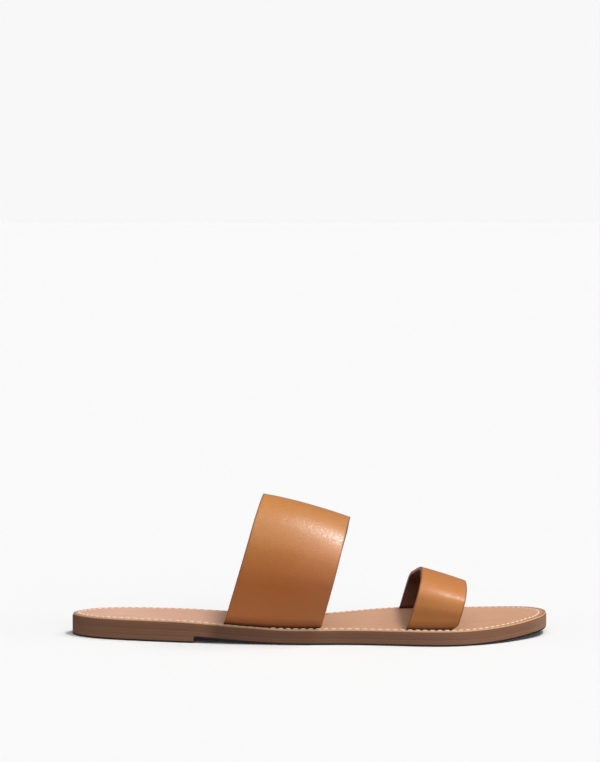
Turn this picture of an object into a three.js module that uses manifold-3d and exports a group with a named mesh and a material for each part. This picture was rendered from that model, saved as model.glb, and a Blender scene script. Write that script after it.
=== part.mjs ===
// A right slide sandal: two leather bands whose ends go through slots in a flat, stitched sole.
// Millimetres. +X runs from heel to toe, +Y towards the inner side of the foot, +Z up.
// The origin is on the floor, under the middle of the sole's length and width.

import * as THREE from 'three';
import { mergeVertices } from 'three/addons/utils/BufferGeometryUtils.js';
import Module from 'manifold-3d';

const wasm = await Module();
wasm.setup();

// Sole. The shank's two ends and the start of the toe spring are shares of its length.
const soleLength = 256;
const heelWidth = 50;
const waistWidth = 56;
const ballWidth = 92;
const toeSpring = 3.4;
const liftHeight = 3.2;
const breastDistance = 66.5;
const shankStart = 0.2;
const shankEnd = 0.475;
const springStart = 0.8;
const outsoleThickness = 3.4;
const midsoleThickness = 3.4;
const insoleThickness = 1.3;
const insoleSetback = 0.4;
const seam = 0.3;

// Bands. Each stands upright in its slots for a share of its rise below the footbed, then bends under it.
const leatherThickness = 2;
const slotInset = 3.6;
const slotClearance = 0.35;
const tailLength = 13;
const tailBend = 0.4;
const heldUp = 0.03;

const instepBand = {
  name: 'instep_strap',
  width: 49.5,
  slotDistance: 82.4,
  riseBack: 66.9,
  riseFront: 55.9,
  dome: 1.7,
  leanBack: 16.2,
  leanFront: 14.7,
  innerEndForward: 2.5,
  frontCorner: 1,
};

const toeBand = {
  name: 'toe_strap',
  width: 25.6,
  slotDistance: 178.4,
  riseBack: 29.8,
  riseFront: 22.2,
  dome: 0.3,
  leanBack: 17,
  leanFront: 16.2,
  innerEndForward: -1,
  frontCorner: 3.2,
};

// Outline of the sole, from heel to toe: each side's distance from the line along its middle.
const outline = [
  { at: 0.01, outer: 0.09 * heelWidth, inner: 0.23 * heelWidth },
  { at: 0.035, outer: 0.236 * heelWidth, inner: 0.385 * heelWidth },
  { at: 0.08, outer: 0.372 * heelWidth, inner: 0.476 * heelWidth },
  { at: 0.14, outer: 0.48 * heelWidth, inner: 0.482 * heelWidth },
  { at: 0.2, outer: 0.568 * heelWidth, inner: 0.436 * heelWidth },
  { at: 0.26, outer: 0.642 * heelWidth, inner: 0.404 * heelWidth },
  { at: 0.34, outer: 0.639 * waistWidth, inner: 0.354 * waistWidth },
  { at: 0.43, outer: 0.686 * waistWidth, inner: 0.361 * waistWidth },
  { at: 0.51, outer: 0.702 * waistWidth, inner: 0.4 * waistWidth },
  { at: 0.555, outer: 0.423 * ballWidth, inner: 0.3 * ballWidth },
  { at: 0.605, outer: 0.43 * ballWidth, inner: 0.393 * ballWidth },
  { at: 0.67, outer: 0.455 * ballWidth, inner: 0.494 * ballWidth },
  { at: 0.74, outer: 0.486 * ballWidth, inner: 0.53 * ballWidth },
  { at: 0.8, outer: 0.477 * ballWidth, inner: 0.534 * ballWidth },
  { at: 0.86, outer: 0.412 * ballWidth, inner: 0.515 * ballWidth },
  { at: 0.915, outer: 0.304 * ballWidth, inner: 0.468 * ballWidth },
  { at: 0.96, outer: 0.176 * ballWidth, inner: 0.38 * ballWidth },
  { at: 0.988, outer: 0.06 * ballWidth, inner: 0.256 * ballWidth },
];
const heelPoint = { at: 0, inner: 0.07 * heelWidth };
const toePoint = { at: 1, inner: 0.115 * ballWidth };

// Shapes of the arches, as seen from behind: shares of the way across between the slots, and of the rise.
const instepArch = [
  { across: -0.06, up: 0.12 },
  { across: -0.125, up: 0.3 },
  { across: -0.15, up: 0.48 },
  { across: -0.115, up: 0.66 },
  { across: 0.02, up: 0.84 },
  { across: 0.23, up: 0.96 },
  { across: 0.47, up: 1 },
  { across: 0.73, up: 0.965 },
  { across: 0.97, up: 0.855 },
  { across: 1.15, up: 0.67 },
  { across: 1.21, up: 0.48 },
  { across: 1.17, up: 0.3 },
  { across: 1.08, up: 0.12 },
];
const toeArch = [
  { across: -0.008, up: 0.2 },
  { across: -0.015, up: 0.45 },
  { across: 0.008, up: 0.68 },
  { across: 0.09, up: 0.87 },
  { across: 0.21, up: 0.97 },
  { across: 0.34, up: 1 },
  { across: 0.53, up: 0.925 },
  { across: 0.76, up: 0.8 },
  { across: 0.95, up: 0.69 },
  { across: 1.03, up: 0.57 },
  { across: 1.035, up: 0.38 },
  { across: 1.018, up: 0.18 },
];

const leatherFinish = { color: 0xc98a50, roughness: 0.42, metalness: 0 };
const insoleFinish = { color: 0xd5a184, roughness: 0.55, metalness: 0 };
const soleFinish = { color: 0x6f5141, roughness: 0.7, metalness: 0 };

const outlineSamples = 720;
const soleStations = 56;
const liftStations = 26;
const cutStations = 10;
const archSteps = 54;
const bendSteps = 5;
const acrossSteps = 8;

const lerp = THREE.MathUtils.lerp;
const smoothstep = THREE.MathUtils.smoothstep;
const outer = -1;
const inner = 1;

// The outline as a closed smooth curve, laid out with its length and width centred on the origin.
function outlineLoop() {
  const along = (row) => row.at * soleLength;
  const points = [new THREE.Vector3(along(heelPoint), heelPoint.inner, 0)];
  for (const row of outline) points.push(new THREE.Vector3(along(row), -row.outer, 0));
  points.push(new THREE.Vector3(along(toePoint), toePoint.inner, 0));
  for (const row of [...outline].reverse()) points.push(new THREE.Vector3(along(row), row.inner, 0));
  const loop = new THREE.CatmullRomCurve3(points, true, 'centripetal').getSpacedPoints(outlineSamples);
  loop.pop();
  const box = new THREE.Box3().setFromPoints(loop);
  const middle = box.getCenter(new THREE.Vector3());
  const stretch = soleLength / (box.max.x - box.min.x);
  return loop.map((p) => new THREE.Vector3((p.x - middle.x) * stretch, p.y - middle.y, 0));
}

// The loop moved in by a distance, split into its outer and inner sides, each running from heel to toe.
function sidesOf(loop, inset) {
  const count = loop.length;
  const moved = loop.map((p, i) => {
    const before = loop[(i + count - 1) % count];
    const after = loop[(i + 1) % count];
    const run = after.clone().sub(before).normalize();
    return new THREE.Vector3(p.x - run.y * inset, p.y + run.x * inset, 0);
  });
  let heel = 0;
  let toe = 0;
  moved.forEach((p, i) => {
    if (p.x < moved[heel].x) heel = i;
    if (p.x > moved[toe].x) toe = i;
  });
  const walk = (from, to) => {
    const side = [];
    for (let i = from; i !== to; i = (i + 1) % count) side.push(moved[i]);
    side.push(moved[to]);
    return side;
  };
  return { [outer]: walk(heel, toe), [inner]: walk(toe, heel).reverse() };
}

const loop = outlineLoop();
const edgeSides = sidesOf(loop, 0);
const insoleSides = sidesOf(loop, insoleSetback);
const slotSides = sidesOf(loop, slotInset);
const heelX = -soleLength / 2;
const breastX = heelX + breastDistance;

// The y of a side at a given x.
function sideY(points, x) {
  const last = points.length - 1;
  if (x <= points[0].x) return points[0].y;
  if (x >= points[last].x) return points[last].y;
  let k = 1;
  while (points[k].x < x) k += 1;
  const share = (x - points[k - 1].x) / (points[k].x - points[k - 1].x);
  return lerp(points[k - 1].y, points[k].y, share);
}

// Height of the outsole's underside: up on the lift, down to the floor under the ball, up at the toe.
function soleRise(x) {
  const at = (x - heelX) / soleLength;
  const heel = liftHeight * (1 - smoothstep(at, shankStart, shankEnd));
  const spring = toeSpring * Math.max(0, (at - springStart) / (1 - springStart)) ** 2;
  return heel + spring;
}

const outsoleTop = (x) => soleRise(x) + outsoleThickness - seam;
const midsoleBottom = (x) => soleRise(x) + outsoleThickness;
const midsoleTop = (x) => midsoleBottom(x) + midsoleThickness - seam;
const insoleBottom = (x) => midsoleBottom(x) + midsoleThickness;
const footbed = (x) => insoleBottom(x) + insoleThickness;

// A closed body from a list of vertices and triangles.
function body(positions, triangles) {
  const geometry = new THREE.BufferGeometry();
  geometry.setAttribute('position', new THREE.Float32BufferAttribute(positions.flat(), 3));
  geometry.setIndex(triangles.flat());
  return geometry;
}

// Rings of equal, even length joined into one closed body. Each ring runs out along one face and back along
// the other, so the end faces are strips between the two.
function loft(rings) {
  const size = rings[0].length;
  const triangles = [];
  for (let r = 0; r + 1 < rings.length; r += 1) {
    for (let k = 0; k < size; k += 1) {
      const a = r * size + k;
      const b = r * size + ((k + 1) % size);
      triangles.push([a, b, b + size], [a, b + size, a + size]);
    }
  }
  const last = (rings.length - 1) * size;
  for (let k = 0; k + 1 < size / 2; k += 1) {
    const [a, b, c, d] = [k, k + 1, size - 2 - k, size - 1 - k];
    triangles.push([a, c, b], [a, d, c]);
    triangles.push([last + a, last + b, last + c], [last + a, last + c, last + d]);
  }
  return body(rings.flat(), triangles);
}

// One layer of the sole between two heights, from the heel's back to the toe or to a flat front face.
function layer(sides, bottom, top, stations, front = null) {
  const start = sides[outer][0].x;
  const end = front ?? sides[outer][sides[outer].length - 1].x;
  const turn = front === null ? Math.PI : Math.PI / 2;
  const positions = [];
  const triangles = [];
  const addPoint = (x, y) => {
    positions.push([x, y, bottom(x)], [x, y, top(x)]);
    return positions.length - 2;
  };
  const pairs = [];
  for (let i = 0; i <= stations; i += 1) {
    const share = (1 - Math.cos((turn * i) / stations)) / (1 - Math.cos(turn));
    const x = lerp(start, end, share);
    const single = i === 0 || (i === stations && front === null);
    const low = addPoint(x, sideY(sides[outer], x));
    pairs.push([low, single ? low : addPoint(x, sideY(sides[inner], x))]);
  }
  const quad = (a, b, c, d) => {
    if (a !== b && b !== c) triangles.push([a, b, c]);
    if (a !== d && d !== c) triangles.push([a, c, d]);
  };
  for (let i = 0; i < stations; i += 1) {
    const [a, d] = pairs[i];
    const [b, c] = pairs[i + 1];
    quad(a + 1, b + 1, c + 1, d + 1);
    quad(d, c, b, a);
    quad(a, b, b + 1, a + 1);
    quad(c, d, d + 1, c + 1);
  }
  const [last, lastInner] = pairs[stations];
  if (last !== lastInner) quad(last, lastInner, lastInner + 1, last + 1);
  return body(positions, triangles);
}

// The x of a band at a share v of its width, from its back edge to its front edge, a share of the way across
// between the slots, and a height above the footbed.
function bandAlong(band) {
  const lean = (v) => Math.tan(THREE.MathUtils.degToRad(lerp(band.leanBack, band.leanFront, v)));
  const length = band.width * Math.hypot(1, lean(0.5));
  const back = heelX + band.slotDistance;
  const tuck = (height) => {
    const short = Math.max(0, band.frontCorner - Math.max(0, height));
    return (short * short) / (band.frontCorner || 1);
  };
  return (v, across, height) => {
    const share = THREE.MathUtils.clamp(across, 0, 1);
    const shift = share * band.innerEndForward + lean(v) * Math.max(0, height);
    return back + v * (length - tuck(height)) + shift;
  };
}

// The outer face of a band's section at a share v of its width, from tail to tail.
function bandSection(band, arch, v) {
  const along = bandAlong(band);
  const ends = [outer, inner].map((side, across) => {
    const x = along(v, across, 0);
    return { side, x, y: sideY(slotSides[side], x), z: footbed(x) };
  });
  const rise = lerp(band.riseBack, band.riseFront, v) + band.dome * 4 * v * (1 - v);
  const radius = tailBend + leatherThickness;
  const tail = (end) => {
    const top = insoleBottom(end.x) - seam;
    const centreZ = top + tailBend;
    const at = (inward, z) => new THREE.Vector3(end.x, end.y - end.side * inward, z);
    const points = [at(tailLength, top - leatherThickness)];
    for (let k = 0; k <= bendSteps; k += 1) {
      const angle = (k / bendSteps) * (Math.PI / 2);
      points.push(at(radius * (1 - Math.sin(angle)), centreZ - radius * Math.cos(angle)));
    }
    return points;
  };
  const guide = [
    { across: 0, up: -heldUp },
    { across: 0, up: 0 },
    ...arch,
    { across: 1, up: 0 },
    { across: 1, up: -heldUp },
  ];
  const place = (row) => new THREE.Vector3(row.across, lerp(ends[0].y, ends[1].y, row.across), row.up * rise);
  const curve = new THREE.CatmullRomCurve3(guide.map(place), false, 'centripetal');
  const wall = curve.getSpacedPoints(archSteps).filter((p) => p.z > slotClearance).map((p) => {
    const floor = lerp(ends[0].z, ends[1].z, THREE.MathUtils.clamp(p.x, 0, 1));
    return new THREE.Vector3(along(v, p.x, p.z), p.y, floor + p.z);
  });
  const mouths = ends.map((end) => new THREE.Vector3(end.x, end.y, end.z));
  return [...tail(ends[0]), mouths[0], ...wall, mouths[1], ...tail(ends[1]).reverse()];
}

// A band: its outer face as a grid of points, its inner face one leather thickness inside that.
// The rows that the sole holds are offset square to its length, as the slots are.
const heldRows = bendSteps + 3;
function bandGeometry(band, arch) {
  const columns = [];
  for (let j = 0; j <= acrossSteps; j += 1) columns.push(bandSection(band, arch, j / acrossSteps));
  const rows = columns[0].length;
  const pick = (list, k) => list[THREE.MathUtils.clamp(k, 0, list.length - 1)];
  const rings = [];
  for (let i = 0; i < rows; i += 1) {
    const outside = [];
    const inside = [];
    for (let j = 0; j <= acrossSteps; j += 1) {
      const p = columns[j][i];
      const round = pick(columns[j], i + 1).clone().sub(pick(columns[j], i - 1));
      const along = pick(columns, j + 1)[i].clone().sub(pick(columns, j - 1)[i]);
      const inward = round.cross(along);
      if (i < heldRows || i >= rows - heldRows) inward.x = 0;
      inward.normalize();
      outside.push(p.toArray());
      inside.unshift(p.clone().addScaledVector(inward, leatherThickness).toArray());
    }
    rings.push([...outside, ...inside]);
  }
  return loft(rings);
}

// A cutter along one foot of a band, from the outer face inwards to a depth, and between two heights.
function footCutter(band, side, inward, bottom, top) {
  const along = bandAlong(band);
  const across = side === outer ? 0 : 1;
  const from = along(0, across, 0) - slotClearance;
  const to = along(1, across, 0) + slotClearance;
  const rings = [];
  for (let i = 0; i <= cutStations; i += 1) {
    const x = lerp(from, to, i / cutStations);
    const y = sideY(slotSides[side], x);
    const ys = [y + side * slotClearance, y - side * (inward + slotClearance)].sort((a, b) => a - b);
    rings.push([
      [x, ys[0], bottom(x)],
      [x, ys[1], bottom(x)],
      [x, ys[1], top(x)],
      [x, ys[0], top(x)],
    ]);
  }
  return loft(rings);
}

function solid(geometry) {
  const bare = geometry.clone();
  bare.deleteAttribute('normal');
  bare.deleteAttribute('uv');
  const merged = mergeVertices(bare);
  const mesh = new wasm.Mesh({
    numProp: 3,
    vertProperties: merged.attributes.position.array,
    triVerts: Uint32Array.from(merged.index.array),
  });
  return new wasm.Manifold(mesh);
}

function cut(geometry, cutters) {
  const result = cutters.reduce((left, cutter) => left.subtract(solid(cutter)), solid(geometry));
  const mesh = result.getMesh();
  const out = new THREE.BufferGeometry();
  out.setAttribute('position', new THREE.BufferAttribute(mesh.vertProperties, 3));
  out.setIndex(new THREE.BufferAttribute(mesh.triVerts, 1));
  return out;
}

function piece(name, geometry, finish) {
  geometry.computeVertexNormals();
  const mesh = new THREE.Mesh(geometry, new THREE.MeshStandardMaterial(finish));
  mesh.name = name;
  return mesh;
}

const bands = [
  { band: instepBand, arch: instepArch },
  { band: toeBand, arch: toeArch },
];
const feet = bands.flatMap(({ band }) => [outer, inner].map((side) => ({ band, side })));

const slots = feet.map(({ band, side }) =>
  footCutter(band, side, leatherThickness, (x) => insoleBottom(x) - seam, (x) => footbed(x) + seam),
);
const tailFloor = (x) => insoleBottom(x) - seam - leatherThickness - slotClearance;
const pockets = feet.map(({ band, side }) =>
  footCutter(band, side, tailLength, tailFloor, (x) => midsoleTop(x) + seam),
);

const sandal = new THREE.Group();
sandal.name = 'slide_sandal';
sandal.add(
  piece('heel_lift', layer(edgeSides, () => 0, (x) => soleRise(x) - seam, liftStations, breastX), soleFinish),
  piece('outsole', layer(edgeSides, soleRise, outsoleTop, soleStations), soleFinish),
  piece('midsole', cut(layer(edgeSides, midsoleBottom, midsoleTop, soleStations), pockets), soleFinish),
  piece('insole', cut(layer(insoleSides, insoleBottom, footbed, soleStations), slots), insoleFinish),
);
for (const { band, arch } of bands) sandal.add(piece(band.name, bandGeometry(band, arch), leatherFinish));

export default sandal;
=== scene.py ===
import math

import bmesh
import bpy
import numpy as np
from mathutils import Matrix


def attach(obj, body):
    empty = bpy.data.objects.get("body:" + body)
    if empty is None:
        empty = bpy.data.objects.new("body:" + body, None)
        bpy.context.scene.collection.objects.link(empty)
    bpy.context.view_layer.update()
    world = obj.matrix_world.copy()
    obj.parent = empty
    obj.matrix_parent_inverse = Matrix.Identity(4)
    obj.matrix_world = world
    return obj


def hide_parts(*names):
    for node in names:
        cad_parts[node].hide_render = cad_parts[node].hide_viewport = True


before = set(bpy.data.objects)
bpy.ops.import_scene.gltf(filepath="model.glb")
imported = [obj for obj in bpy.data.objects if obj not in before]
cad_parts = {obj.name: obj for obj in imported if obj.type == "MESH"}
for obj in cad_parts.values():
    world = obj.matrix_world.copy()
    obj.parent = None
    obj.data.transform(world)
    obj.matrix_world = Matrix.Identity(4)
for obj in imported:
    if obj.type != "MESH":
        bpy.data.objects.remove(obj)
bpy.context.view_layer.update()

# Sizes are in millimetres, in the solids' frame: +X from heel to toe, +Y to the inner side, +Z up.
MM = 0.001
OUTER, INNER = -1, 1

SOLE_LENGTH = 256
LIFT_HEIGHT = 3.2
TOE_SPRING = 3.4
SHANK_START, SHANK_END, SPRING_START = 0.2, 0.475, 0.8
BREAST_X = -61.5
OUTSOLE, MIDSOLE, INSOLE = 3.4, 3.4, 1.3
INSOLE_SETBACK = 0.4
INSOLE_ROUND = 0.4
JOINT = 0.02
JOINT_ROUND = 0.045
BOTTOM_EDGE = 0.5
# Height of the near-black band at the foot of each rubber layer's side, painted shade for the contact
# shadow under the sole.
CONTACT_SHADE_HEIGHT = 0.9
HIDDEN_INSET = 6

# Steps round the outline of each layer, and across the lift's breast
SOLE_STEPS = 900
INSOLE_STEPS = 1200
SEAM_STEPS = 4800
HEEL_STEPS, BREAST_STEPS = 480, 16

PANEL_INNER_INSET = 9
PANEL_INSET = 7.2
PANEL_LINE_DEPTH = 0.3
PANEL_LINE = ((6.9, PANEL_LINE_DEPTH), (6.3, PANEL_LINE_DEPTH), (6, 0))

LEATHER = 2
EDGE_ROUND = 0.45
SLOT_INSET = 3.6
CLEARANCE = 0.35
SLOT_NEAR = SLOT_INSET - CLEARANCE
SLOT_FAR = SLOT_INSET + LEATHER + CLEARANCE
TAIL = 13
TAIL_BEND = 0.4
TAIL_DROP = 0.3
HELD_UP = 0.03
LEANING_WIDTH = 1.04
CUT_EDGE_MARK = -0.3

STITCH_INSET = 2.35
STITCH_PITCH = 4
STITCH_LENGTH = 2.55
THREAD_RADIUS = 0.38
THREAD_PROUD = 0.07
THREAD_DIP = 0.5
SUNK_FROM, SUNK_TO, SUNK = -53, -21, 0.26
GROOVE = [(-0.6, 0), (-0.42, 0.07), (-0.2, 0.16), (0, 0.19), (0.2, 0.16), (0.42, 0.07), (0.6, 0)]

# Marks of depth, which the materials read. On the top of a layer they are insets from its edge. They
# are below zero on its side, and lower still on its lowest rings, the border and the panel. Hidden
# faces have any mark above zero.
SIDE_MARK = -2
LOW_MARK = -3
BORDER_MARK = -5
PANEL_EDGE_MARK = -7.2
PANEL_MARK = -9
PANEL_MIDDLE_MARK = -20
RECESS_MARK = 5
TOP_MIDDLE_MARK = 20

# An arch is a list of points across a band: the share of the way between its slots, and of its rise.
INSTEP_BAND = {
    "node": "instep_strap", "width": 49.5, "slot": 82.4, "rise": (66.9, 55.9), "dome": 1.7,
    "lean": (16.2, 14.7), "inner_forward": 2.5, "corner": 1,
    "arch": [
        (-0.06, 0.12), (-0.125, 0.3), (-0.15, 0.48), (-0.115, 0.66), (0.02, 0.84), (0.23, 0.96),
        (0.47, 1), (0.73, 0.965), (0.97, 0.855), (1.15, 0.67), (1.21, 0.48), (1.17, 0.3), (1.08, 0.12),
    ],
}
TOE_BAND = {
    "node": "toe_strap", "width": 25.6, "slot": 178.4, "rise": (29.8, 22.2), "dome": 0.3,
    "lean": (17, 16.2), "inner_forward": -1, "corner": 3.2,
    "arch": [
        (-0.008, 0.2), (-0.015, 0.45), (0.008, 0.68), (0.09, 0.87), (0.21, 0.97), (0.34, 1),
        (0.53, 0.925), (0.76, 0.8), (0.95, 0.69), (1.03, 0.57), (1.035, 0.38), (1.018, 0.18),
    ],
}


def smoothstep(t):
    t = np.clip(t, 0, 1)
    return t * t * (3 - 2 * t)


def lerp(a, b, t):
    return a + (b - a) * t


def sole_rise(x):
    """Height of the outsole's underside at x."""
    at = x / SOLE_LENGTH + 0.5
    heel = LIFT_HEIGHT * (1 - smoothstep((at - SHANK_START) / (SHANK_END - SHANK_START)))
    return heel + TOE_SPRING * np.maximum(0, (at - SPRING_START) / (1 - SPRING_START)) ** 2


def insole_bottom(x):
    return sole_rise(x) + OUTSOLE + MIDSOLE


def footbed(x):
    return insole_bottom(x) + INSOLE


# Curves

def catmull_rom(points, closed=False, steps=40):
    """A dense centripetal Catmull-Rom curve through the points."""
    points = np.asarray(points, float)
    if closed:
        held = np.vstack([points[-1:], points, points[:2]])
    else:
        held = np.vstack([2 * points[0] - points[1], points, 2 * points[-1] - points[-2]])
    t = np.linspace(0, 1, steps, endpoint=False)[:, None]
    out = []
    for p0, p1, p2, p3 in zip(held, held[1:], held[2:], held[3:]):
        d0, d1, d2 = (math.sqrt(np.linalg.norm(b - a)) for a, b in ((p0, p1), (p1, p2), (p2, p3)))
        m1 = ((p1 - p0) / d0 - (p2 - p0) / (d0 + d1) + (p2 - p1) / d1) * d1
        m2 = ((p2 - p1) / d1 - (p3 - p1) / (d1 + d2) + (p3 - p2) / d2) * d1
        squared, cubed = 3 * (p2 - p1) - 2 * m1 - m2, 2 * (p1 - p2) + m1 + m2
        out.append(p1 + m1 * t + squared * t**2 + cubed * t**3)
    return np.vstack([*out, held[-2:-1]])


def spaced(curve, count):
    """Points at equal steps along a dense curve, both ends included."""
    run = np.concatenate([[0], np.cumsum(np.linalg.norm(np.diff(curve, axis=0), axis=1))])
    at = np.linspace(0, run[-1], count)
    return np.stack([np.interp(at, run, axis) for axis in curve.T], 1)


def sole_outline():
    """The outsole's own outline, dense and closed: heel, outer side, toe, inner side."""
    places = np.array([v.co[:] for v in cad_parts["outsole"].data.vertices]) / MM
    stations = np.unique(places[:, 0].round(2))
    rows = [places[np.abs(places[:, 0] - x) < 0.01] for x in stations]
    outer = [(x, row[:, 1].min()) for x, row in zip(stations, rows)]
    inner = [(x, row[:, 1].max()) for x, row in zip(stations, rows)]
    return catmull_rom(outer + inner[-2:0:-1], closed=True)


OUTLINE = sole_outline()


def moved_in(loop, inset):
    """The closed loop moved inwards; inset is a length or one length for each point."""
    run = np.roll(loop, -1, 0) - np.roll(loop, 1, 0)
    run /= np.linalg.norm(run, axis=1)[:, None]
    return loop + np.stack([-run[:, 1], run[:, 0]], 1) * np.reshape(inset, (-1, 1))


def seam_extra(x):
    """How much further in the seam runs round the heel and the toe than beside the bands."""
    return np.interp(x, [-112, -62, 88, 118], [1, 0, 0, 1.8])


def side_of(loop, side):
    """One side of the loop, from heel to toe."""
    heel, toe = loop[:, 0].argmin(), loop[:, 0].argmax()
    rolled = np.roll(loop, -heel, 0)
    toe = (toe - heel) % len(loop)
    return rolled[: toe + 1] if side == OUTER else rolled[toe:][::-1]


SLOT_SIDES = {side: side_of(moved_in(OUTLINE[:-1], SLOT_INSET), side) for side in (OUTER, INNER)}


# Meshes

def mesh_object(name, vertices, faces, material, attributes=None, uv=None, sharp=38):
    """A closed mesh from places in millimetres.

    attributes holds a value for each vertex, and uv a pair for each face corner. Edges that bend by
    more than sharp, in degrees, are shaded sharp.
    """
    mesh = bpy.data.meshes.new(name)
    mesh.from_pydata((np.asarray(vertices) * MM).tolist(), [], faces)
    for key, values in (attributes or {}).items():
        layer = mesh.attributes.new(key, "FLOAT", "POINT")
        layer.data.foreach_set("value", np.asarray(values, np.float32))
    if uv is not None:
        layer = mesh.uv_layers.new(name="rim")
        layer.data.foreach_set("uv", np.asarray(uv, np.float32).ravel())
    shape = bmesh.new()
    shape.from_mesh(mesh)
    bmesh.ops.recalc_face_normals(shape, faces=shape.faces)
    for face in shape.faces:
        face.smooth = True
    for edge in shape.edges:
        edge.smooth = edge.calc_face_angle(0) < math.radians(sharp)
    shape.to_mesh(mesh)
    shape.free()
    mesh.materials.append(material)
    obj = bpy.data.objects.new(name, mesh)
    bpy.context.scene.collection.objects.link(obj)
    return obj


class Skin:
    """A layer of the sole as rings round its outline, closed by a cap of strips at each end."""

    def __init__(self, loop, bottom, top, shrunk=None):
        """bottom and top give z at x. shrunk gives the loop at an inset where it has sharp corners."""
        self.bottom, self.top = bottom, top
        self.shrunk = shrunk or (lambda inset: moved_in(loop, inset))
        self.count = len(loop)
        step = np.linalg.norm(np.roll(loop, -1, 0) - loop, axis=1)
        self.run = np.concatenate([[0], np.cumsum(step)])
        self.vertices, self.faces, self.uv, self.depth = [], [], [], []
        self.rings = []

    def add_points(self, points, depth):
        first = len(self.vertices)
        self.vertices.extend(np.asarray(points).tolist())
        self.depth.extend(np.broadcast_to(depth, len(points)).tolist())
        return first

    def ring(self, inset, share, lift=0.0, depth=None):
        """Adds a ring at an inset, a share of the way from bottom to top, and a lift above that.

        depth is its mark, or the inset where none is given. Returns the ring's number.
        """
        flat = self.shrunk(inset)
        z = lerp(self.bottom(flat[:, 0]), self.top(flat[:, 0]), share) + lift
        depth = inset if depth is None else depth
        self.rings.append(self.add_points(np.column_stack([flat, z]), depth))
        return len(self.rings) - 1

    def face(self, corners, marks):
        self.faces.append(corners)
        self.uv.extend(marks)

    def band(self, low, high, skip=()):
        """Faces between two rings, apart from the skipped places round the loop."""
        n, a, b = self.count, self.rings[low], self.rings[high]
        left_out = set(skip)
        for i in range(n):
            if i in left_out:
                continue
            k = (i + 1) % n
            corners = [a + i, a + k, b + k, b + i]
            u = (self.run[i], self.run[i + 1], self.run[i + 1], self.run[i])
            self.face(corners, [(u[c], self.depth[corners[c]]) for c in range(4)])

    def walls(self, upper, lower, start, end):
        """A wall along part of the loop between two rings, given by their first vertices."""
        for i in range(start, end):
            corners = [upper + i, upper + i + 1, lower + i + 1, lower + i]
            self.face(corners, [(self.run[start], self.depth[c]) for c in corners])

    def cap(self, ring, height, columns, depth=TOP_MIDDLE_MARK, straight_end=False):
        """Closes a ring with strips across, up to a point or a straight end of as many steps."""
        n, a = self.count, self.rings[ring]
        half = (n - columns) // 2 if straight_end else n // 2
        rows = []
        for k in range(1, half):
            p, q = np.array(self.vertices[a + k]), np.array(self.vertices[a + n - k])
            share = np.linspace(0, 1, columns + 1)[1:-1, None]
            points = p + (q - p) * share
            points[:, 2] = height(points[:, 0])
            first = self.add_points(points, depth)
            rows.append([a + k, *range(first, first + columns - 1), a + n - k])
        last = [a + half + (c if straight_end else 0) for c in range(columns + 1)]
        ends = [[a] * (columns + 1), *rows, last]
        for one, two in zip(ends, ends[1:]):
            for c in range(columns):
                corners = list(dict.fromkeys([one[c], two[c], two[c + 1], one[c + 1]]))
                self.face(corners, [(0, self.depth[v]) for v in corners])

    def build(self, name, material, contact_shade_from=None):
        """The lowest rings from the x given last on are painted near black: painted shade for the
        contact shadow under the sole.
        """
        marks = {"inset": self.depth}
        if contact_shade_from is not None:
            x, depth = np.array(self.vertices)[:, 0], np.array(self.depth)
            marks["painted_contact_shade"] = (depth <= LOW_MARK) & (x > contact_shade_from)
        return mesh_object(name, self.vertices, self.faces, material, marks, self.uv)


def outline_points(count):
    return spaced(OUTLINE, count + 1)[:-1]


def corner_rings(skin, radius, setback, top, steps=4):
    """Rings round one edge of a layer, from bottom to top. The marks of a top edge pass zero."""
    for k in range(steps + 1):
        angle = math.pi / 2 * k / steps
        by_cosine, by_sine = radius * (1 - math.cos(angle)), radius * (1 - math.sin(angle))
        if top:
            skin.ring(setback + by_cosine, 1, -by_sine, k / steps - 0.4)
        else:
            skin.ring(setback + by_sine, 0, by_cosine, LOW_MARK)


def side_rings(skin, setback, shares):
    for share in shares:
        skin.ring(setback, share, 0, share + SIDE_MARK)


def join_rings(skin):
    for k in range(len(skin.rings) - 1):
        skin.band(k, k + 1)


# Bands

def band_along(band, v, across, height):
    """The x of a band at a share v of its width, a share across between the slots, and a height."""
    tangents = [math.tan(math.radians(lerp(*band["lean"], share))) for share in (v, 0.5)]
    length = band["width"] * math.hypot(1, tangents[1])
    above = np.maximum(0, height)
    short = np.maximum(0, band["corner"] - above)
    length = length - short**2 / band["corner"]
    start = band["slot"] - SOLE_LENGTH / 2 + np.clip(across, 0, 1) * band["inner_forward"]
    return start + v * length + tangents[0] * above


def slot_y(side, x):
    return np.interp(x, SLOT_SIDES[side][:, 0], SLOT_SIDES[side][:, 1])


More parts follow.
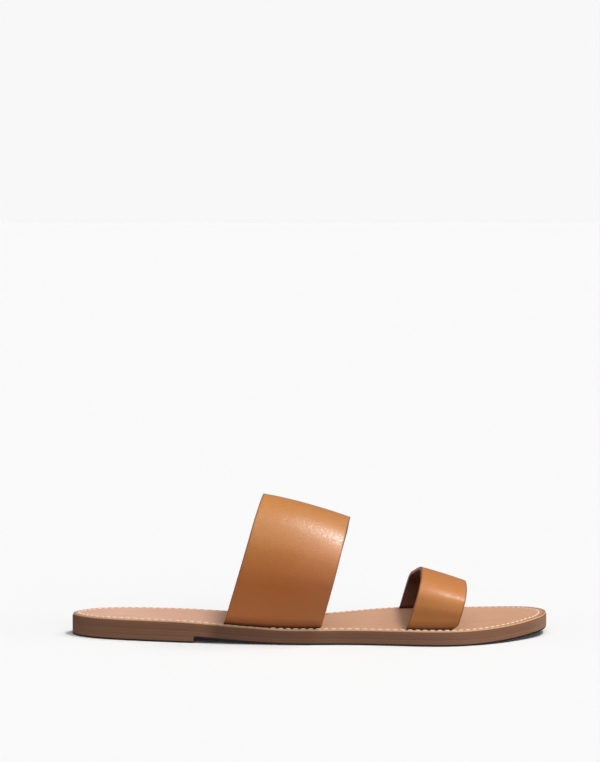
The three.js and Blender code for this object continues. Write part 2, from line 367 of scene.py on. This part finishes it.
def band_section(band, v, wall_rows, bend_rows):
    """The outer face of a band at a share v of its width, from tail to tail."""
    ends = []
    for side, across in ((OUTER, 0), (INNER, 1)):
        x = float(band_along(band, v, across, 0))
        ends.append((side, x, float(slot_y(side, x)), float(footbed(x))))
    radius = TAIL_BEND + LEATHER
    tails = []
    for side, x, y, _ in ends:
        top = float(insole_bottom(x)) - TAIL_DROP
        angles = np.linspace(0, math.pi / 2, bend_rows)
        inward = np.concatenate([[TAIL, TAIL * 0.6], radius * (1 - np.sin(angles))])
        z = np.concatenate([[top - LEATHER] * 2, top + TAIL_BEND - radius * np.cos(angles)])
        tails.append(np.column_stack([np.full_like(z, x), y - side * inward, z]))
    rise = lerp(*band["rise"], v) + band["dome"] * 4 * v * (1 - v)
    guide = [(0, -HELD_UP), (0, 0), *band["arch"], (1, 0), (1, -HELD_UP)]
    y0, y1 = ends[0][2], ends[1][2]
    curve = catmull_rom([(a, lerp(y0, y1, a), up * rise) for a, up in guide])
    keep = np.flatnonzero(curve[:, 2] > CLEARANCE)
    wall = spaced(curve[keep[0]: keep[-1] + 1], wall_rows)
    floor = lerp(ends[0][3], ends[1][3], np.clip(wall[:, 0], 0, 1))
    along = band_along(band, v, wall[:, 0], wall[:, 2])
    wall = np.column_stack([along, wall[:, 1], floor + wall[:, 2]])
    mouths = [np.array([[x, y, z]]) for _, x, y, z in ends]
    return np.vstack([tails[0], mouths[0], wall, mouths[1], tails[1][::-1]])


def band_profile(width, across_steps, corner_steps=4):
    """The band's cross-section, once round, as pairs of distance along the width and depth."""
    r = EDGE_ROUND
    arc = [math.pi / 2 * k / corner_steps for k in range(corner_steps + 1)]
    face = np.linspace(r, width - r, across_steps + 1)[1:-1]
    outside = [(s, 0.0) for s in face]
    front = [(width - r + r * math.sin(a), r - r * math.cos(a)) for a in arc]
    front += [(width, LEATHER / 2)]
    front += [(width - r + r * math.cos(a), LEATHER - r + r * math.sin(a)) for a in arc]
    inside = [(s, float(LEATHER)) for s in face[::-1]]
    back = [(width - s, LEATHER - d) for s, d in front]
    return outside + front + inside + back


def band_skin(band, material, wall_rows=170, across_steps=36, bend_rows=8):
    """A band as rows of its cross-section from tail to tail. Its profile spans the leaning width."""
    width = band["width"] * LEANING_WIDTH
    profile = band_profile(width, across_steps)
    shares = sorted({round(s / width, 6) for s, _ in profile})
    columns = np.array([band_section(band, v, wall_rows, bend_rows) for v in shares])
    round_way = np.gradient(columns, axis=1)
    width_way = np.gradient(columns, np.array(shares), axis=0)
    inward = np.cross(round_way, width_way)
    held = bend_rows + 4
    inward[:, :held, 0] = 0
    inward[:, -held:, 0] = 0
    inward /= np.linalg.norm(inward, axis=2, keepdims=True)
    place = {v: k for k, v in enumerate(shares)}
    rows, size = columns.shape[1], len(profile)
    vertices = np.zeros((rows, size, 3))
    rim, inside = np.zeros((rows, size)), np.zeros((rows, size))
    for j, (s, depth) in enumerate(profile):
        k = place[round(s / width, 6)]
        vertices[:, j] = columns[k] + inward[k] * depth
        on_inner_face = depth > LEATHER - EDGE_ROUND / 2
        rim[:, j] = min(s, width - s) if on_inner_face or depth < EDGE_ROUND / 2 else CUT_EDGE_MARK
        inside[:, j] = on_inner_face
    faces = []
    for i in range(rows - 1):
        for j in range(size):
            a, b = i * size + j, i * size + (j + 1) % size
            faces.append([a, b, b + size, a + size])
    faces.append(list(range(size)))
    faces.append([(rows - 1) * size + j for j in range(size)][::-1])
    above = vertices[:, :, 2] - footbed(vertices[:, :, 0])
    marks = {"rim": rim.ravel(), "inside": inside.ravel(), "above": above.ravel()}
    name = band["node"] + "_skin"
    piece = mesh_object(name, vertices.reshape(-1, 3), faces, material, marks, sharp=50)
    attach(piece, "root")
    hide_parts(band["node"])
    return piece


# Materials

def colour(red, green, blue):
    """A screen colour from 0 to 255 as the linear colour that shaders take."""
    def linear(c):
        c /= 255
        return c / 12.92 if c <= 0.04045 else ((c + 0.055) / 1.055) ** 2.4
    return (linear(red), linear(green), linear(blue), 1)


class Finish:
    """A material and short ways to add nodes to it."""

    def __init__(self, name, roughness, **sockets):
        self.material = bpy.data.materials.new(name)
        self.material.use_nodes = True
        self.tree = self.material.node_tree
        self.shader = self.tree.nodes["Principled BSDF"]
        self.shader.inputs["Roughness"].default_value = roughness
        for key, value in sockets.items():
            self.shader.inputs[key.replace("_", " ")].default_value = value
        self.place = self.tree.nodes.new("ShaderNodeTexCoord").outputs["Object"]

    def node(self, kind, inputs, **settings):
        node = self.tree.nodes.new(kind)
        for key, value in settings.items():
            setattr(node, key, value)
        for key, value in inputs.items():
            if isinstance(value, bpy.types.NodeSocket):
                self.tree.links.new(value, node.inputs[key])
            else:
                node.inputs[key].default_value = value
        return node

    def noise(self, scale, detail=3, roughness=0.5, stretch=None):
        vector = self.place
        if stretch:
            inputs = {0: vector, 1: stretch}
            vector = self.node("ShaderNodeVectorMath", inputs, operation="MULTIPLY").outputs[0]
        inputs = {"Vector": vector, "Scale": scale, "Detail": detail, "Roughness": roughness}
        return self.node("ShaderNodeTexNoise", inputs).outputs["Fac"]

    def cells(self, scale):
        return self.node("ShaderNodeTexVoronoi", {"Vector": self.place, "Scale": scale}).outputs[0]

    def along(self):
        """The place along the shoe, in metres from its middle."""
        return self.node("ShaderNodeSeparateXYZ", {0: self.place}).outputs[0]

    def spread(self, value, low, high, to_low=0.0, to_high=1.0):
        """Maps a value from one range onto another, and holds it there."""
        inputs = {"Value": value, "From Min": low, "From Max": high}
        inputs.update({"To Min": to_low, "To Max": to_high})
        return self.node("ShaderNodeMapRange", inputs).outputs["Result"]

    def maths(self, operation, a, b):
        return self.node("ShaderNodeMath", {0: a, 1: b}, operation=operation).outputs[0]

    def mix(self, factor, a, b):
        """The colour a, and b in its place as far as the factor goes."""
        return self.node("ShaderNodeMix", {0: factor, 6: a, 7: b}, data_type="RGBA").outputs[2]

    def mark(self, name):
        return self.node("ShaderNodeAttribute", {}, attribute_name=name).outputs["Fac"]

    def bumps(self, *layers):
        """Bump layers as (height, distance in millimetres), one on the other."""
        normal = None
        for height, distance in layers:
            inputs = {"Height": height, "Distance": distance * MM, "Strength": 1.0}
            if normal is not None:
                inputs["Normal"] = normal
            normal = self.node("ShaderNodeBump", inputs).outputs[0]
        self.tree.links.new(normal, self.shader.inputs["Normal"])

    def connect(self, socket, value):
        self.tree.links.new(value, self.shader.inputs[socket])


def strap_leather():
    """Tan leather: dark rims, pale cut edges and dark flesh inside, with painted shade down the wide
    band's wall and at the foot of each band, and a painted shadow in the mouth of each slot.
    """
    f = Finish("strap_leather", 0.42, Coat_Weight=0.08, Coat_Roughness=0.3, IOR=1.48)
    along, rim, within, above = f.along(), f.mark("rim"), f.mark("inside"), f.mark("above")
    cloud = f.spread(f.noise(22, 3), 0.35, 0.65)
    fibre = f.spread(f.noise(260, 5, 0.65), 0.3, 0.7)
    tan = f.mix(cloud, colour(188, 122, 60), colour(196, 131, 69))
    tan = f.mix(f.maths("MULTIPLY", fibre, 0.3), tan, colour(178, 110, 54))
    on_toe_band = f.spread(along, 0.045, 0.05, 0, 0.16)
    tan = f.mix(on_toe_band, tan, colour(150, 92, 52))
    tan = f.mix(f.spread(rim, 0.15, 1.0, 0.85, 0), tan, colour(88, 58, 38))
    cut = f.mix(f.noise(900, 4, 0.7), colour(186, 150, 128), colour(212, 182, 160))
    tan = f.mix(f.spread(rim, -0.25, 0.02, 1, 0), tan, cut)
    nap = f.spread(f.noise(420, 6, 0.7), 0.3, 0.7)
    flesh = f.mix(nap, colour(74, 41, 32), colour(92, 54, 41))
    skin = f.mix(within, tan, flesh)

    # Painted shade: down the wall of the wide band the grain side is painted redder and darker, and
    # paler again near its foot, a painted bounce of light.
    wide_band = f.spread(along, 0.02, 0.045, 1, 0.3)
    painted_wall_shade = f.maths("MULTIPLY", f.spread(above, 24, 52, 0.62, 0), wide_band)
    painted_wall_shade = f.maths("MULTIPLY", painted_wall_shade, f.maths("SUBTRACT", 1, within))
    red = f.mix(f.spread(above, 4, 22, 1, 0), colour(200, 105, 50), colour(224, 130, 76))
    skin = f.mix(painted_wall_shade, skin, red)
    # Painted shade: both bands are painted darker just above the footbed.
    skin = f.mix(f.spread(above, 1.5, 5.5, 0.6, 0), skin, colour(104, 54, 28))
    # Painted shadow: a near-black line where each band goes into its slot.
    painted_slot_shade = f.spread(above, 0.5, 2.1, 0.93, 0)
    f.connect("Base Color", f.mix(painted_slot_shade, skin, colour(40, 20, 12)))

    # The polish is best towards the front of the wide band.
    forward = f.spread(along, -0.016, 0.012, 0.5, 1)
    off_toe_band = f.spread(along, 0.03, 0.05, 1, 0.46)
    f.connect("Specular IOR Level", f.maths("MULTIPLY", forward, off_toe_band))
    shine = f.spread(f.noise(900, 3, 0.6), 0.35, 0.65, 0.3, 0.5)
    f.connect("Roughness", f.node("ShaderNodeMix", {0: within, 2: shine, 3: 0.9}).outputs[0])
    f.bumps((f.noise(45, 2), 0.25), (f.noise(900, 3, 0.65), 0.1), (f.cells(1500), 0.03))
    return f.material


def needle_holes(f):
    """How far each place of the rim is within a needle hole, half a pitch from a stitch's middle."""
    uv = f.node("ShaderNodeUVMap", {}, uv_map="rim").outputs[0]
    run, inset = f.node("ShaderNodeSeparateXYZ", {0: uv}).outputs[:2]
    phase = f.maths("FRACT", f.maths("DIVIDE", run, STITCH_PITCH), 0)
    from_middle = f.maths("ABSOLUTE", f.maths("SUBTRACT", phase, 0.5), 0)
    along = f.maths("SUBTRACT", STITCH_PITCH / 2, f.maths("MULTIPLY", from_middle, STITCH_PITCH))
    off = f.maths("SUBTRACT", inset, STITCH_INSET)
    squares = f.maths("ADD", f.maths("POWER", along, 2), f.maths("POWER", off, 2))
    return f.spread(f.maths("SQRT", squares, 0), 0.25, 0.6, 1, 0)


def footbed_leather():
    """Pinkish tan leather with fine creases along the shoe, a browner rim and a light cut edge."""
    f = Finish("footbed_leather", 0.5, IOR=1.45)
    inset, along = f.mark("inset"), f.along()
    cloud = f.spread(f.noise(16, 3), 0.35, 0.65)
    fibre = f.spread(f.noise(220, 5, 0.65, stretch=(0.35, 1, 1)), 0.3, 0.7)
    crease = f.spread(f.noise(150, 4, 0.6, stretch=(0.12, 1, 1)), 0.56, 0.7)
    fleck = f.spread(f.noise(700, 2, 0.5), 0.66, 0.74)
    top = f.mix(f.spread(along, -0.11, 0.02), colour(226, 182, 162), colour(219, 168, 135))
    top = f.mix(f.maths("MULTIPLY", cloud, 0.5), top, colour(210, 156, 124))
    top = f.mix(f.maths("MULTIPLY", fibre, 0.3), top, colour(200, 146, 114))
    top = f.mix(f.maths("MULTIPLY", crease, 0.2), top, colour(176, 118, 88))
    top = f.mix(f.maths("MULTIPLY", fleck, 0.35), top, colour(150, 96, 70))
    top = f.mix(f.spread(inset, 0.75, 1.7, 0.75, 0), top, colour(148, 104, 76))
    hole = needle_holes(f)
    top = f.mix(f.maths("MULTIPLY", hole, 0.6), top, colour(92, 56, 38))

    # The cut edge is browner in its lower half. Beside the rear of the wide band it is painted darker,
    # painted shade from the band.
    streak = f.noise(500, 4, 0.7, stretch=(0.2, 0.2, 1))
    cut = f.mix(streak, colour(224, 180, 140), colour(198, 152, 114))
    cut = f.mix(f.spread(inset, -1.5, -0.7, 1, 0), cut, colour(150, 108, 80))
    painted_shade_rise, ahead = f.spread(along, -0.056, -0.049, 0, 1), f.spread(along, -0.03, -0.015, 0.55, 0)
    cut = f.mix(f.maths("MULTIPLY", painted_shade_rise, ahead), cut, colour(112, 80, 58))
    f.connect("Base Color", f.mix(f.spread(inset, 0.1, 0.4, 1, 0), top, cut))
    f.connect("Roughness", f.spread(f.noise(300, 4, 0.6), 0.3, 0.7, 0.46, 0.58))
    swell, grain = (f.noise(38, 2), 0.2), (f.noise(800, 3, 0.6), 0.04)
    f.bumps(swell, grain, (f.cells(1300), 0.025), (f.maths("MULTIPLY", hole, -1), 0.25))
    return f.material


def sole_finish(name, base, light, roughness):
    """Brown sole stock: level streaks, painted shade below the wide band, painted light at the toe's
    tip, and a near-black underside and lowest edge, painted shade for the contact shadow.
    """
    f = Finish(name, roughness, IOR=1.5)
    streak = f.spread(f.noise(260, 5, 0.7, stretch=(0.06, 0.06, 5)), 0.3, 0.7)
    cloud = f.spread(f.noise(30, 3), 0.3, 0.7)
    tone = f.mix(f.maths("MULTIPLY", streak, 0.6), base, light)
    tone = f.mix(f.maths("MULTIPLY", cloud, 0.35), tone, light)
    speck = f.spread(f.noise(900, 2), 0.64, 0.72)
    tone = f.mix(f.maths("MULTIPLY", speck, 0.25), tone, colour(74, 48, 36))
    along = f.along()
    # Painted shade: the side is painted darker below the wide band, where the band's shade falls.
    painted_shade_rise, ahead = f.spread(along, -0.056, -0.049, 0, 1), f.spread(along, -0.045, 0.05, 0.62, 0)
    tone = f.mix(f.maths("MULTIPLY", painted_shade_rise, ahead), tone, colour(88, 58, 45))
    # Painted light: the toe's tip is painted paler, where it faces the light.
    tone = f.mix(f.spread(along, 0.117, 0.127, 0, 0.4), tone, colour(176, 148, 128))
    # Painted shade: the underside and the lowest edge are painted near black, for the contact shadow
    # under the sole.
    painted_contact_shade = f.spread(f.mark("painted_contact_shade"), 0.3, 0.7)
    black = f.mix(cloud, colour(40, 34, 32), colour(52, 45, 42))
    f.connect("Base Color", f.mix(painted_contact_shade, tone, black))
    dull = f.spread(f.noise(240, 4), 0.3, 0.7, roughness - 0.06, roughness + 0.08)
    f.connect("Roughness", dull)
    panel = f.spread(f.mark("inset"), PANEL_EDGE_MARK - 0.4, PANEL_EDGE_MARK + 0.1, 1, 0)
    pebble = f.maths("MULTIPLY", f.cells(620), panel)
    grain = f.noise(300, 5, 0.7, stretch=(0.08, 0.08, 4))
    f.bumps((grain, 0.05), (f.noise(1100, 3), 0.02), (pebble, 0.35))
    return f.material


def thread_finish():
    f = Finish("cream_thread", 0.62, Sheen_Weight=0.25)
    ply = f.spread(f.noise(1200, 3, stretch=(1, 1, 0.5)), 0.3, 0.7)
    f.connect("Base Color", f.mix(ply, colour(226, 200, 168), colour(240, 218, 190)))
    f.bumps((f.noise(2600, 2), 0.03),)
    return f.material


# Pieces of the sole

def slot_places(loop):
    """First and last place round the loop that each slot takes."""
    x, y = loop[:, 0], loop[:, 1]
    places = []
    for band in (INSTEP_BAND, TOE_BAND):
        for side, across in ((OUTER, 0), (INNER, 1)):
            x_from = float(band_along(band, 0, across, 0)) - CLEARANCE
            x_to = float(band_along(band, 1, across, 0)) + CLEARANCE
            inside = np.flatnonzero((x > x_from) & (x < x_to) & (y * side > 0))
            places.append((int(inside[0]) - 1, int(inside[-1]) + 1))
    return places


def make_insole(material):
    loop = outline_points(INSOLE_STEPS)
    skin = Skin(loop, lambda x: insole_bottom(x) + JOINT / 2, footbed)
    slots = slot_places(loop)
    skipped = [i for start, end in slots for i in range(start, end)]
    low_far = skin.ring(SLOT_FAR, 0)
    low_near = skin.ring(SLOT_NEAR, 0)
    skin.ring(INSOLE_SETBACK + 0.1, 0, 0, -1)
    side_rings(skin, INSOLE_SETBACK, (0.1, 0.4))
    corner_rings(skin, INSOLE_ROUND, INSOLE_SETBACK, True)

    def top_ring(inset, drop=0):
        return skin.ring(inset + seam_extra(loop[:, 0]), 1, -drop, inset)

    for offset, drop in GROOVE:
        top_ring(STITCH_INSET + offset, drop)
    top_near = top_ring(SLOT_NEAR)
    top_far = top_ring(SLOT_FAR)
    top_ring(SLOT_FAR + 1.2)
    last = top_ring(SLOT_FAR + 3)
    for low in range(len(skin.rings) - 1):
        cut = (low, low + 1) in ((low_far, low_near), (top_near, top_far))
        skin.band(low, low + 1, skipped if cut else ())
    rings = skin.rings
    for start, end in slots:
        skin.walls(rings[top_near], rings[low_near], start, end)
        skin.walls(rings[top_far], rings[low_far], start, end)
        for i in (start, end):
            corners = [rings[top_near] + i, rings[top_far] + i, rings[low_far] + i, rings[low_near] + i]
            skin.face(corners, [(0, SLOT_NEAR)] * 4)
    skin.cap(last, footbed, 20)
    skin.cap(low_far, skin.bottom, 2)
    return skin.build("insole_skin", material)


def make_midsole(material):
    loop = outline_points(SOLE_STEPS)

    def bottom(x):
        return sole_rise(x) + OUTSOLE + JOINT / 2

    skin = Skin(loop, bottom, lambda x: insole_bottom(x) - JOINT / 2)
    slots = slot_places(loop)
    skipped = [i for start, end in slots for i in range(start, end)]
    deep = SLOT_INSET + TAIL + CLEARANCE
    ends = [HIDDEN_INSET, deep, deep, HIDDEN_INSET]
    deep_inset = np.interp(loop[:, 0], [-SOLE_LENGTH / 2, -90, 95, SOLE_LENGTH / 2], ends)
    low = skin.ring(HIDDEN_INSET, 0)
    corner_rings(skin, JOINT_ROUND, 0, False)
    side_rings(skin, 0, (0.25, 0.5, 0.75))
    corner_rings(skin, JOINT_ROUND, 0, True)
    top_near = skin.ring(SLOT_NEAR, 1)
    top_deep = skin.ring(deep_inset, 1, 0, 10)
    for k in range(len(skin.rings) - 1):
        skin.band(k, k + 1, skipped if k == top_near else ())
    rings = skin.rings
    for start, end in slots:
        floors = []
        for ring in (rings[top_near], rings[top_deep]):
            points = np.array(skin.vertices[ring + start: ring + end + 1])
            points[:, 2] = insole_bottom(points[:, 0]) - TAIL_DROP - LEATHER - CLEARANCE
            floors.append(skin.add_points(points, RECESS_MARK) - start)
            skin.walls(ring, floors[-1], start, end)
        skin.walls(floors[0], floors[1], start, end)
        for i in (start, end):
            corners = [rings[top_near] + i, rings[top_deep] + i, floors[1] + i, floors[0] + i]
            skin.face(corners, [(0, RECESS_MARK)] * 4)
    skin.cap(low, skin.bottom, 6)
    skin.cap(top_deep, skin.top, 6)
    return skin.build("midsole_skin", material)


def rubber_rings(skin, bottom_edge):
    """The rings of a rubber layer from its underside's panel to its top: the first and the last."""
    low = skin.ring(PANEL_INNER_INSET, 0, 0, PANEL_MARK)
    skin.ring(PANEL_INSET, 0, 0, PANEL_EDGE_MARK)
    for inset, lift in PANEL_LINE:
        skin.ring(inset, 0, lift, BORDER_MARK)
    corner_rings(skin, bottom_edge, 0, False)
    skin.ring(0, 0, CONTACT_SHADE_HEIGHT, LOW_MARK)
    skin.ring(0, 0, CONTACT_SHADE_HEIGHT + 0.1, SIDE_MARK + 0.3)
    side_rings(skin, 0, (0.5, 0.75))
    corner_rings(skin, JOINT_ROUND, 0, True)
    top = skin.ring(HIDDEN_INSET, 1, 0, 3)
    join_rings(skin)
    return low, top


def make_outsole(material):
    """The outsole. Its lower edge is sharp above the lift, so the two layers meet in a fine line."""
    loop = outline_points(SOLE_STEPS)
    skin = Skin(loop, sole_rise, lambda x: sole_rise(x) + OUTSOLE - JOINT / 2)
    edge = np.interp(loop[:, 0], [BREAST_X - 1, BREAST_X + 1], [JOINT_ROUND, BOTTOM_EDGE])
    low, top = rubber_rings(skin, edge)
    skin.cap(low, skin.bottom, 24, PANEL_MIDDLE_MARK)
    skin.cap(top, skin.top, 6)
    return skin.build("outsole_skin", material, BREAST_X)


def lift_loop(inset):
    """The lift's outline at an inset, from the heel's middle, with a straight breast half way round."""
    outline = moved_in(OUTLINE[:-1], inset)
    breast = BREAST_X - inset
    ahead = np.flatnonzero(outline[:, 0] >= breast)
    outer, inner = outline[: ahead[0]], outline[ahead[-1] + 1:]
    corners = []
    for one, two in ((ahead[0] - 1, ahead[0]), (ahead[-1], ahead[-1] + 1)):
        p, q = outline[one], outline[two]
        corners.append(p + (q - p) * (breast - p[0]) / (q[0] - p[0]))
    round_heel = spaced(np.vstack([corners[1], inner, outer, corners[0]]), HEEL_STEPS + 1)
    across = spaced(np.array(corners), BREAST_STEPS + 1)[1:-1]
    return np.roll(np.vstack([round_heel, across]), -(HEEL_STEPS // 2), 0)


def make_heel_lift(material):
    skin = Skin(lift_loop(0), lambda x: x * 0, lambda x: sole_rise(x) - JOINT, lift_loop)
    low, top = rubber_rings(skin, BOTTOM_EDGE)
    skin.cap(low, skin.bottom, BREAST_STEPS, PANEL_MIDDLE_MARK, True)
    skin.cap(top, skin.top, BREAST_STEPS, TOP_MIDDLE_MARK, True)
    return skin.build("heel_lift_skin", material, -SOLE_LENGTH)


def make_stitches(material, sides=8, rings=9):
    """Short cream stitches round the footbed's rim, each dipping into its needle holes.

    They stand a little proud on the outer side, lie a little low on the inner side, and are sunk
    beside the rear of the wide band.
    """
    loop = outline_points(SEAM_STEPS)
    line = moved_in(loop, STITCH_INSET + seam_extra(loop[:, 0]))
    step = np.linalg.norm(np.roll(loop, -1, 0) - loop, axis=1)
    run = np.concatenate([[0], np.cumsum(step)])
    closed = np.vstack([line, line[:1]])
    vertices, faces = [], []
    for number in range(int(run[-1] // STITCH_PITCH)):
        share = np.linspace(-1, 1, rings)
        at = (number + 0.5) * STITCH_PITCH + share * STITCH_LENGTH / 2
        x, y = (np.interp(at, run, closed[:, axis]) for axis in (0, 1))
        beside_band = y[0] < 0 and SUNK_FROM < x[rings // 2] < SUNK_TO
        proud = -SUNK if beside_band else -THREAD_PROUD * np.clip(y / 10, -1, 1)
        path = np.column_stack([x, y, footbed(x) + proud - THREAD_DIP * share**4])
        way = np.gradient(path, axis=0)
        way /= np.linalg.norm(way, axis=1)[:, None]
        across = np.cross(way, (0, 0, 1))
        across /= np.linalg.norm(across, axis=1)[:, None]
        up = np.cross(across, way)
        first = len(vertices)
        for k in range(rings):
            thick = THREAD_RADIUS * (1 - 0.35 * abs(share[k]) ** 3)
            for s in range(sides):
                angle = 2 * math.pi * s / sides
                ply = 1 + 0.13 * math.cos(2 * angle - 5 * share[k])
                offset = across[k] * math.cos(angle) * 1.15 + up[k] * math.sin(angle)
                vertices.append((path[k] + offset * thick * ply).tolist())
        for k in range(rings - 1):
            for s in range(sides):
                a, b = first + k * sides + s, first + k * sides + (s + 1) % sides
                faces.append([a, b, b + sides, a + sides])
        faces.append(list(range(first, first + sides)))
        faces.append(list(range(first + (rings - 1) * sides, first + rings * sides))[::-1])
    return mesh_object("rim_stitches", vertices, faces, material, sharp=70)


def dress(piece, node=None):
    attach(piece, "root")
    if node:
        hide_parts(node)


# Studio

LENS, SENSOR = 132.5, 36
CAMERA_PLACE = (-0.0053, -1.5019, 0.2242)
CAMERA_DOWN = 3.346
CAMERA_REACH = 1000
FLOOR_REACH, FLOOR_LEVEL = 120, -0.00004


def add_camera():
    """A long lens 1.5 m away on the outer side, aimed a little down and above the shoe."""
    camera = bpy.data.cameras.new("camera")
    camera.lens = LENS
    camera.sensor_width = SENSOR
    camera.clip_end = CAMERA_REACH
    obj = bpy.data.objects.new("camera", camera)
    obj.location = CAMERA_PLACE
    obj.rotation_euler = (math.radians(90 - CAMERA_DOWN), 0, 0)
    bpy.context.scene.collection.objects.link(obj)
    bpy.context.scene.camera = obj


def add_sun(name, towards, strength, angle):
    """A soft distant light that comes from the given direction."""
    light = bpy.data.lights.new(name, "SUN")
    light.energy = strength
    light.angle = math.radians(angle)
    obj = bpy.data.objects.new(name, light)
    x, y, z = towards
    obj.rotation_euler = (math.atan2(math.hypot(x, y), z), 0, math.atan2(x, -y))
    bpy.context.scene.collection.objects.link(obj)
    return obj


def add_floor():
    """A wide pale floor just under the sole. It catches shadows and throws no light on the shoe."""
    floor = Finish("pale_floor", 0.9, Specular_IOR_Level=0.0)
    tone = floor.mix(floor.noise(3, 2), (0.83, 0.83, 0.83, 1), (0.836, 0.836, 0.836, 1))
    floor.connect("Base Color", tone)
    mesh = bpy.data.meshes.new("floor")
    signs = ((-1, -1), (1, -1), (1, 1), (-1, 1))
    corners = [(x * FLOOR_REACH, y * FLOOR_REACH, FLOOR_LEVEL) for x, y in signs]
    mesh.from_pydata(corners, [], [(0, 1, 2, 3)])
    mesh.materials.append(floor.material)
    obj = bpy.data.objects.new("floor", mesh)
    obj.visible_diffuse = obj.visible_glossy = False
    bpy.context.scene.collection.objects.link(obj)


def add_studio():
    scene = bpy.context.scene
    scene.view_settings.view_transform = "Standard"
    world = bpy.data.worlds.new("studio")
    scene.world = world
    world.use_nodes = True
    # The world lights the shoe softly, and the camera sees it as pale as the photo's ground.
    tree = world.node_tree
    soft = tree.nodes["Background"]
    soft.inputs["Color"].default_value = (1, 1, 1, 1)
    soft.inputs["Strength"].default_value = 0.19
    seen = tree.nodes.new("ShaderNodeBackground")
    seen.inputs["Color"].default_value = colour(248, 248, 248)
    path = tree.nodes.new("ShaderNodeLightPath")
    both = tree.nodes.new("ShaderNodeMixShader")
    tree.links.new(path.outputs["Is Camera Ray"], both.inputs[0])
    tree.links.new(soft.outputs[0], both.inputs[1])
    tree.links.new(seen.outputs[0], both.inputs[2])
    tree.links.new(both.outputs[0], tree.nodes["World Output"].inputs["Surface"])
    add_sun("key", (0.37, -0.12, 0.92), 1.84, 12)
    add_sun("haze", (0.02, -0.5, 0.87), 0.8, 50)
    fills = [
        add_sun("back", (0.6, 0.2, 0.77), 0.4, 15),
        add_sun("front", (0.3, -0.94, 0.12), 1.08, 60),
        add_sun("toe_side", (0.97, -0.22, 0.02), 1.3, 20),
        add_sun("heel_side", (-0.95, -0.25, 0.1), 0.35, 20),
    ]
    for fill in fills:
        fill.visible_glossy = False
    add_floor()


def main():
    add_camera()
    add_studio()
    strap = strap_leather()
    rubber = sole_finish("sole_rubber", colour(130, 89, 67), colour(149, 107, 82), 0.62)
    board = sole_finish("sole_board", colour(126, 86, 65), colour(145, 104, 80), 0.66)
    dress(make_heel_lift(rubber), "heel_lift")
    dress(make_outsole(rubber), "outsole")
    dress(make_midsole(board), "midsole")
    dress(make_insole(footbed_leather()), "insole")
    dress(make_stitches(thread_finish()))
    band_skin(INSTEP_BAND, strap)
    band_skin(TOE_BAND, strap)


main()
